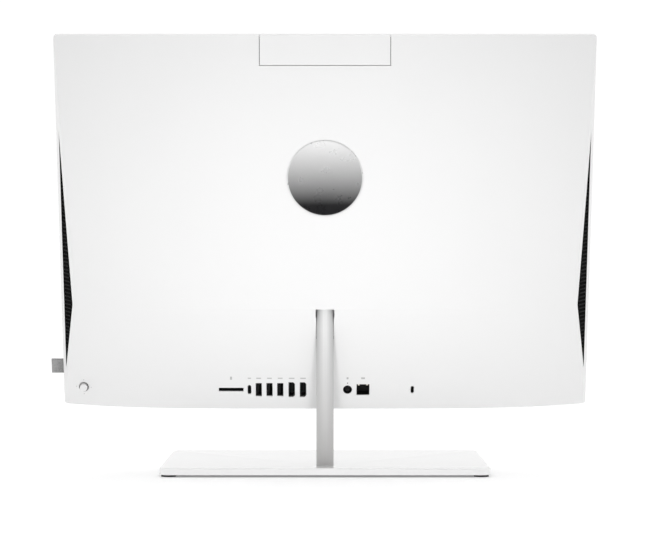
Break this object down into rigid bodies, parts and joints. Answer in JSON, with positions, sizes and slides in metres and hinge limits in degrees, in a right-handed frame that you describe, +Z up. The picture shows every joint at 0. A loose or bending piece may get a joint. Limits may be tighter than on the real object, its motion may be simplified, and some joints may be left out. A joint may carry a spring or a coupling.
{
  "type": "all in one computer",
  "caption": "Wide flat screen body with a wedge-shaped rear, sockets along its lower edge and a pop-up camera, tilting on a slim bar neck above a flat rectangular base.",
  "frame": {"origin": "on the desk, under the middle of the base and of its middle foot", "axes": "+Z up; the screen faces -Y and the rear with its sockets faces +Y; +X is across the body, and is on the left when the rear is looked at"},
  "size_m": [0.5516, 0.2088, 0.441],
  "materials": {
    "base_cover": "gloss",
    "base_weight": "matte",
    "base_feet": "matte",
    "base_screws": "satin",
    "neck_foot": "matte",
    "neck_bar": "satin",
    "hinge_barrel": "satin",
    "hinge_pin": "satin",
    "friction_washers": "satin",
    "hinge_nuts": "satin",
    "hinge_bracket_left": "satin",
    "hinge_bracket_right": "satin",
    "bracket_screws": "satin",
    "display_frame": "satin",
    "screen_glass": "gloss",
    "lcd_panel": "matte",
    "speaker_fabric": "matte",
    "speaker_carrier": "matte",
    "fabric_tab": "matte",
    "chassis_plate": "satin",
    "rear_cover": "satin",
    "side_vent_left": "matte",
    "side_vent_right": "matte",
    "motherboard": "satin",
    "board_screws": "satin",
    "processor": "gloss",
    "heat_sink": "satin",
    "heat_pipes": "satin",
    "fin_stack": "satin",
    "fan_housing": "matte",
    "memory_socket": "matte",
    "memory_modules": "satin",
    "ssd_module": "satin",
    "wireless_card": "satin",
    "coin_cell": "satin",
    "hard_drive": "satin",
    "drive_bracket": "satin",
    "speaker_left": "matte",
    "speaker_right": "matte",
    "antennas": "satin",
    "card_reader": "matte",
    "usb_c_port": "satin",
    "usb_a_ports": "satin",
    "video_ports": "satin",
    "port_cores": "matte",
    "dc_jack": "satin",
    "power_light": "gloss",
    "lan_port": "satin",
    "lock_plate": "satin",
    "badge": "satin",
    "port_marks": "matte",
    "camera_rails": "satin",
    "stick_housing": "matte",
    "camera_housing": "satin",
    "camera_window": "gloss",
    "camera_module": "satin",
    "fan_rotor": "matte",
    "stick_plunger": "matte",
    "stick_gimbal": "satin",
    "stick_cap": "satin"
  },
  "bodies": {
    "stand": {"base_cover": "base_cover", "base_weight": "base_weight", "base_feet": "base_feet", "base_screws": "base_screws", "neck_foot": "neck_foot", "neck_bar": "neck_bar", "hinge_barrel": "hinge_barrel", "hinge_pin": "hinge_pin", "friction_washers": "friction_washers", "hinge_nuts": "hinge_nuts"},
    "display": {"hinge_bracket_left": "hinge_bracket_left", "hinge_bracket_right": "hinge_bracket_right", "bracket_screws": "bracket_screws", "display_frame": "display_frame", "screen_glass": "screen_glass", "lcd_panel": "lcd_panel", "speaker_fabric": "speaker_fabric", "speaker_carrier": "speaker_carrier", "fabric_tab": "fabric_tab", "chassis_plate": "chassis_plate", "rear_cover": "rear_cover", "side_vent_left": "side_vent_left", "side_vent_right": "side_vent_right", "motherboard": "motherboard", "board_screws": "board_screws", "processor": "processor", "heat_sink": "heat_sink", "heat_pipes": "heat_pipes", "fin_stack": "fin_stack", "fan_housing": "fan_housing", "memory_socket": "memory_socket", "memory_modules": "memory_modules", "ssd_module": "ssd_module", "wireless_card": "wireless_card", "coin_cell": "coin_cell", "hard_drive": "hard_drive", "drive_bracket": "drive_bracket", "speaker_left": "speaker_left", "speaker_right": "speaker_right", "antennas": "antennas", "card_reader": "card_reader", "usb_c_port": "usb_c_port", "usb_a_ports": "usb_a_ports", "video_ports": "video_ports", "port_cores": "port_cores", "dc_jack": "dc_jack", "power_light": "power_light", "lan_port": "lan_port", "lock_plate": "lock_plate", "badge": "badge", "port_marks": "port_marks", "camera_rails": "camera_rails", "stick_housing": "stick_housing"},
    "camera": {"camera_housing": "camera_housing", "camera_window": "camera_window", "camera_module": "camera_module"},
    "fan": {"fan_rotor": "fan_rotor"},
    "plunger": {"stick_plunger": "stick_plunger"},
    "gimbal": {"stick_gimbal": "stick_gimbal"},
    "stick": {"stick_cap": "stick_cap"}
  },
  "joints": [
    {"name": "tilt_hinge", "type": "hinge", "parent": "stand", "child": "display", "pos_m": [0, 0.0596, 0.1692], "axis": [-1, 0, 0], "range_deg": [-8.5, 11.5]},
    {"name": "camera_lift", "type": "slide", "parent": "display", "child": "camera", "axis": [0, 0.2334, 0.9724], "range_m": [0, 0.02]},
    {"name": "fan_spin", "type": "hinge", "parent": "display", "child": "fan", "pos_m": [0.1955, 0.05473, 0.21315], "axis": [0, 0.9724, -0.2334], "continuous": true},
    {"name": "stick_press", "type": "slide", "parent": "display", "child": "plunger", "axis": [0, -0.9724, 0.2334], "range_m": [0, 0.0006], "stiffness_N_per_m": 2000, "springref_m": -0.0004},
    {"name": "stick_left_right", "type": "hinge", "parent": "gimbal", "child": "stick", "pos_m": [0.248, 0.02297, 0.08688], "axis": [0, 0.2334, 0.9724], "range_deg": [-8, 8], "stiffness_Nm_per_rad": 0.3},
    {"name": "stick_up_down", "type": "hinge", "parent": "plunger", "child": "gimbal", "pos_m": [0.248, 0.02297, 0.08688], "axis": [1, 0, 0], "range_deg": [-8, 8], "stiffness_Nm_per_rad": 0.3}
  ]
}
